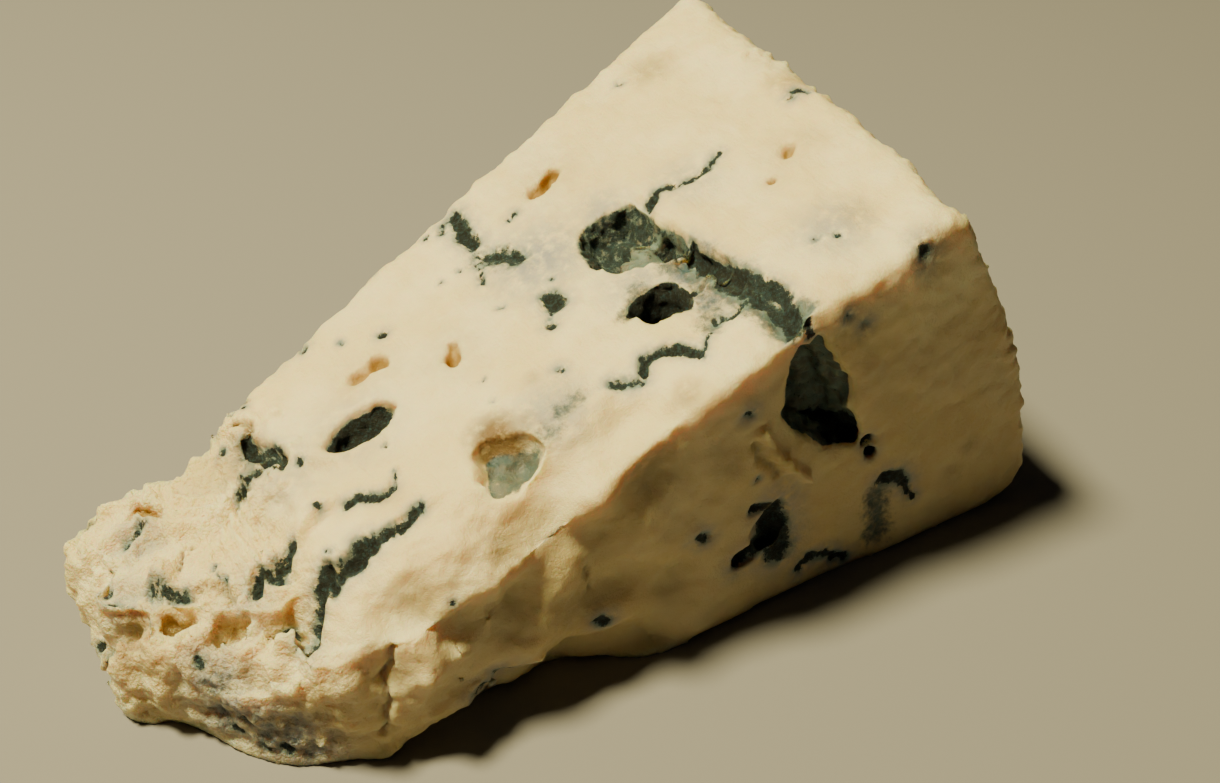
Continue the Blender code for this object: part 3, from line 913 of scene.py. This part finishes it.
def in_base(face):
    """Whether a face lies flat in the base."""
    return face.normal.z < -0.99 and face.calc_center_median().z < TINY


everything = curd.verts[:] + curd.edges[:] + curd.faces[:]
cut = bisect(curd, everything, Vector((0, 0, BASE_CUT)), Vector((0, 0, -1)), clear=True)
foot = [edge for edge in cut["geom_cut"] if isinstance(edge, bmesh.types.BMEdge)]
filled = bmesh.ops.edgeloop_fill(curd, edges=foot)["faces"]
foot_verts = {vert for face in filled for vert in face.verts}
for vert in foot_verts:
    vert.co.z = 0.0
for axis, start, end in ((0, low_corner.x, high_corner.x), (1, low_corner.y, high_corner.y)):
    for number in range(1, int((end - start) / BASE_GRID)):
        base_faces = [face for face in curd.faces if in_base(face)]
        edges = dict.fromkeys(edge for face in base_faces for edge in face.edges)
        corners = dict.fromkeys(vert for face in base_faces for vert in face.verts)
        point = Vector((0, 0, 0))
        point[axis] = start + number * BASE_GRID
        normal = Vector((1, 0, 0)) if axis == 0 else Vector((0, 1, 0))
        bisect(curd, [*corners, *edges, *base_faces], point, normal)
curd.normal_update()
for vert in curd.verts:
    if vert.co.z < TINY and vert.normal.z < -0.9:
        cloud = noise.noise(vert.co / BASE_CLOUD) + 0.5 * noise.noise(vert.co / BASE_PATCH)
        vert[layers["mould"]] = float(np.clip(1.5 * cloud - 0.25, 0, 0.9))
        vert[layers["haze"]] = float(np.clip(cloud, 0, 0.6))
for face in curd.faces:
    face.smooth = not in_base(face)
cheese = new_object("cheese", curd)


# What the curd looks like. It is waxy and lets light soak in a few millimetres, so thin edges
# glow. Mould breaks up into grains, from nearly black through green to a bluish grey.

finish = bpy.data.materials.new("blue_veined_curd")
finish.use_nodes = True
tree = finish.node_tree
shader = tree.nodes["Principled BSDF"]
where = tree.nodes.new("ShaderNodeTexCoord").outputs["Object"]


def feed(socket, value):
    """Sets a socket to a value, or links it to another socket."""
    if isinstance(value, bpy.types.NodeSocket):
        tree.links.new(value, socket)
    else:
        socket.default_value = value


def maths(operation, first, second, clamp=False):
    """One step of arithmetic."""
    made = tree.nodes.new("ShaderNodeMath")
    made.operation = operation
    made.use_clamp = clamp
    feed(made.inputs[0], first)
    feed(made.inputs[1], second)
    return made.outputs[0]


def grain(size, detail=3.0, roughness=0.55, stretch=None, turn=0.0):
    """Noise from about 0 to 1 whose blotches are size millimetres wide."""
    made = tree.nodes.new("ShaderNodeTexNoise")
    made.inputs["Scale"].default_value = 1 / (size * MM)
    made.inputs["Detail"].default_value = detail
    made.inputs["Roughness"].default_value = roughness
    source = where
    if stretch:
        mapping = tree.nodes.new("ShaderNodeMapping")
        mapping.inputs["Rotation"].default_value = (0, 0, turn)
        mapping.inputs["Scale"].default_value = stretch
        feed(mapping.inputs["Vector"], where)
        source = mapping.outputs[0]
    feed(made.inputs["Vector"], source)
    return made.outputs["Fac"]


def ramp(value, low, high):
    """0 at low and 1 at high, evenly curved between."""
    made = tree.nodes.new("ShaderNodeMapRange")
    made.interpolation_type = "SMOOTHSTEP"
    feed(made.inputs["Value"], value)
    feed(made.inputs["From Min"], low)
    feed(made.inputs["From Max"], high)
    return made.outputs["Result"]


def blend(first, second, share):
    """The first colour, going over to the second by this share."""
    made = tree.nodes.new("ShaderNodeMix")
    made.data_type = "RGBA"
    feed(made.inputs["Factor"], share)
    feed(made.inputs[6], first)
    feed(made.inputs[7], second)
    return made.outputs[2]


def painted(name):
    """How strong a stain is, from the mesh."""
    made = tree.nodes.new("ShaderNodeAttribute")
    made.attribute_name = name
    return made.outputs["Fac"]


# The colours of fresh curd and of stained curd, of the painted shade of the front side and the painted glow
# of the eye and crack walls, of the mould from its haze to its black heart, and of the rind.
CREAM = (0.80, 0.67, 0.36, 1)
PALE_CREAM = (0.85, 0.75, 0.46, 1)
BUTTER = (0.77, 0.60, 0.26, 1)
FRONT_SHADE_BROWN = (0.50, 0.335, 0.16, 1)
AMBER = (0.33, 0.17, 0.018, 1)
TAN = (0.20, 0.125, 0.05, 1)
HAZE_GREY = (0.27, 0.28, 0.34, 1)
MOULD_BLACK = (0.010, 0.013, 0.012, 1)
MOULD_GREEN = (0.026, 0.045, 0.048, 1)
MOULD_GREY = (0.080, 0.096, 0.096, 1)
MOULD_FRINGE = (0.17, 0.24, 0.22, 1)
MOULD_TEAL = (0.032, 0.078, 0.090, 1)
RIND = (0.62, 0.51, 0.30, 1)
RIND_GREY = (0.34, 0.34, 0.24, 1)

# The noises that break the colours up, from the finest grain to broad clouds.
fine = grain(0.35, 4)
finer = grain(0.12, 2)
blotch = grain(1.3, 3)
cloud = grain(9, 4)
mottle = grain(3.2, 3)

# The curd, its rind, its haze and its brown stains come first, with the painted shade of the front side and
# the painted glow of the walls, and lie under the mould.
colour = blend(CREAM, PALE_CREAM, ramp(cloud, 0.40, 0.62))
colour = blend(colour, BUTTER, maths("MULTIPLY", ramp(mottle, 0.50, 0.78), 0.35))
# Painted shade: the front side is browned for the shade it lies in.
colour = blend(colour, FRONT_SHADE_BROWN, maths("MULTIPLY", painted("front_shade"), 0.5))
rind_share = maths("MULTIPLY", painted("rind"), ramp(blotch, 0.2, 0.7), clamp=True)
colour = blend(colour, RIND, rind_share)
rind_spots = maths("MULTIPLY", painted("rind"), ramp(mottle, 0.52, 0.70), clamp=True)
colour = blend(colour, RIND_GREY, maths("MULTIPLY", rind_spots, 0.7))
haze_patches = ramp(blotch, 0.15, 0.62)
haze = maths("MULTIPLY", maths("MULTIPLY", painted("haze"), 1.7), haze_patches, clamp=True)
colour = blend(colour, HAZE_GREY, haze)
tan_share = maths("MULTIPLY", painted("tan"), ramp(blotch, 0.1, 0.6))
colour = blend(colour, TAN, tan_share)
# Painted glow: amber on the eye and crack walls stands for light soaking through them.
colour = blend(colour, AMBER, maths("MULTIPLY", painted("amber"), 0.85, clamp=True))

# The mould ends in ragged grains: pale mould first, then the fringe and the dark mould.
ragged = maths("MULTIPLY", maths("SUBTRACT", grain(0.8, 4, 0.65), 0.5), 1.2)
ragged = maths("ADD", ragged, maths("MULTIPLY", maths("SUBTRACT", finer, 0.5), 0.3))
pale_field = maths("ADD", painted("pale_mould"), ragged)
pale = blend(MOULD_GREY, MOULD_TEAL, ramp(blotch, 0.4, 0.6))
colour = blend(colour, pale, maths("MULTIPLY", ramp(pale_field, 0.30, 0.95), 0.92))
field = maths("ADD", painted("mould"), ragged)
fringe = maths("MULTIPLY", ramp(painted("mould"), 0.02, 0.5), ramp(blotch, 0.3, 0.6))
colour = blend(colour, MOULD_FRINGE, maths("MULTIPLY", fringe, 0.8))
share = ramp(field, 0.48, 0.66)
dark = blend(MOULD_GREEN, MOULD_BLACK, ramp(field, 0.62, 0.95))
dark = blend(dark, MOULD_TEAL, maths("MULTIPLY", ramp(fine, 0.50, 0.68), 0.7))
colour = blend(colour, dark, share)
feed(shader.inputs["Base Color"], colour)

# The skin is greasy in patches and duller on mould, and light soaks into it.
greasy = ramp(grain(0.9, 3), 0.35, 0.7)
roughness = maths("ADD", 0.32, maths("MULTIPLY", greasy, 0.28))
roughness = maths("ADD", roughness, maths("MULTIPLY", share, 0.25))
feed(shader.inputs["Roughness"], roughness)
shader.inputs["IOR"].default_value = 1.45
shader.inputs["Subsurface Weight"].default_value = 0.55
shader.inputs["Subsurface Radius"].default_value = (1.0, 0.45, 0.16)
shader.inputs["Subsurface Scale"].default_value = 4.0 * MM

# Fine grain, the drag of the wire, rough mould and torn curd stand up in small relief.
drag = grain(0.6, 3, stretch=(1.0, 0.12, 0.5), turn=math.radians(28))
relief = maths("ADD", maths("MULTIPLY", finer, 0.35), maths("MULTIPLY", fine, 0.5))
relief = maths("ADD", relief, maths("MULTIPLY", drag, 0.45))
relief = maths("ADD", relief, maths("MULTIPLY", maths("MULTIPLY", finer, share), 1.2))
torn_grain = maths("MULTIPLY", grain(0.5, 3), painted("torn"))
relief = maths("ADD", relief, maths("MULTIPLY", torn_grain, 3.0))
bump = tree.nodes.new("ShaderNodeBump")
bump.inputs["Strength"].default_value = 0.9
bump.inputs["Distance"].default_value = 0.26 * MM
feed(bump.inputs["Height"], relief)
feed(shader.inputs["Normal"], bump.outputs["Normal"])

cheese.data.materials.append(finish)
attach(cheese, "root")
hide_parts("cheese_wedge")


# The surface that it lies on is a plain pale sheet. It is flat, wide and matt, and only takes the
# cheese's shadow.

FLOOR_SIZE = 4.0
FLOOR_GREY = (0.23, 0.226, 0.235, 1)
floor_bm = bmesh.new()
bmesh.ops.create_grid(floor_bm, x_segments=1, y_segments=1, size=FLOOR_SIZE / 2)
floor = new_object("floor", floor_bm)
floor_paint = bpy.data.materials.new("pale_floor")
floor_paint.use_nodes = True
floor_shader = floor_paint.node_tree.nodes["Principled BSDF"]
floor_shader.inputs["Base Color"].default_value = FLOOR_GREY
floor_shader.inputs["Roughness"].default_value = 0.9
floor.data.materials.append(floor_paint)
floor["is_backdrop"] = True


# Light and camera. A soft lamp hangs nearly overhead, leaning to the tip and a little behind. The
# camera looks down at the front side from beyond the tip.

middle = (low_corner + high_corner) / 2
LAMP_DISTANCE = 0.6
CAMERA_PLACE = (116.55, -99.56, 125.0)
CAMERA_WAY = (0.4156, 0.6783, -0.606)
lamp_way = Vector((-0.37, 0.12, 0.92)).normalized()
lamp = bpy.data.lights.new("lamp", "AREA")
lamp.shape = "DISK"
lamp.size = 0.12
lamp.energy = 9.6
lamp.color = (1.0, 0.87, 0.45)
lamp_object = bpy.data.objects.new("lamp", lamp)
lamp_object.location = middle + lamp_way * LAMP_DISTANCE
lamp_object.rotation_mode = "QUATERNION"
lamp_object.rotation_quaternion = lamp_way.to_track_quat("Z", "Y")
bpy.context.scene.collection.objects.link(lamp_object)

world = bpy.data.worlds.new("room")
world.use_nodes = True
air = world.node_tree.nodes["Background"]
air.inputs["Color"].default_value = (1.0, 0.93, 0.82, 1)
air.inputs["Strength"].default_value = 0.014
bpy.context.scene.world = world

camera = bpy.data.cameras.new("camera")
camera.sensor_width = 36.0
camera.lens = 49.2
camera.clip_start = 0.01
camera_object = bpy.data.objects.new("camera", camera)
camera_object.location = at(*CAMERA_PLACE)
camera_object.rotation_mode = "QUATERNION"
camera_object.rotation_quaternion = Vector(CAMERA_WAY).to_track_quat("-Z", "Y")
bpy.context.scene.collection.objects.link(camera_object)
bpy.context.scene.camera = camera_object

boxes = {"cad": cad_box, "visual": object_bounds()}
{name: [list(corner) for corner in box] for name, box in boxes.items()}
